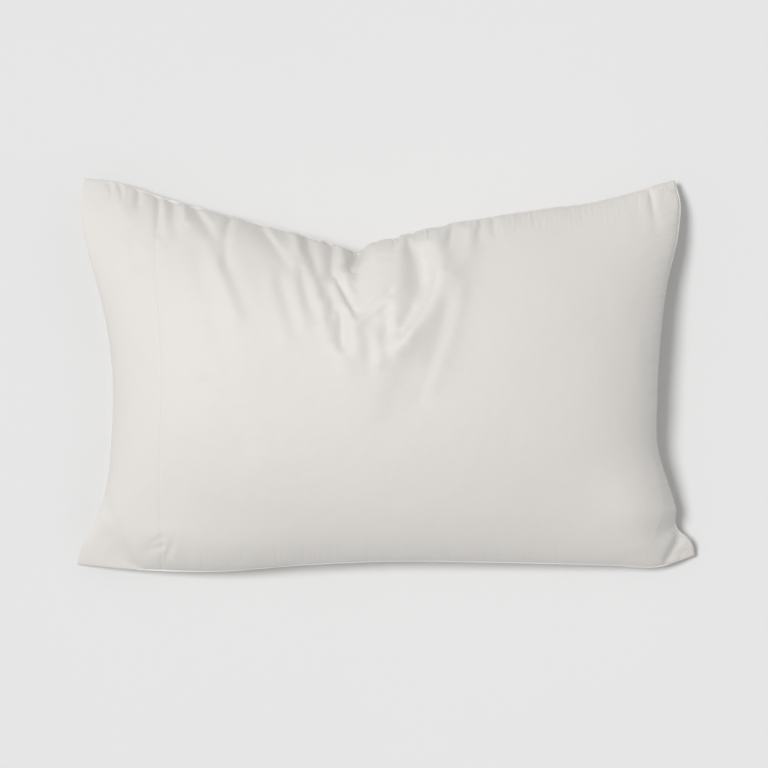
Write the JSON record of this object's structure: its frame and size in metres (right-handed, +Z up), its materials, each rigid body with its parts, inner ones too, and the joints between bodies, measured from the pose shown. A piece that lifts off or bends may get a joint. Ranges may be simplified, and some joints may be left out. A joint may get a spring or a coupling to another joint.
{
  "type": "pillowcase",
  "caption": "Plain cotton pillowcase with a deep hem at its open end, filled by a pillow and lying on its back, with a dent pressed into the middle of a long edge.",
  "frame": {"origin": "centre of the footprint, on the surface that the filled case rests on", "axes": "+X along the length towards the closed end, +Y across the width towards the dented edge, +Z up out of the face"},
  "size_m": [0.746, 0.4724, 0.1771],
  "materials": {
    "case_cotton": "smooth off-white cotton sateen"
  },
  "bodies": {
    "root": {"pillowcase": "case_cotton"}
  },
  "joints": []
}
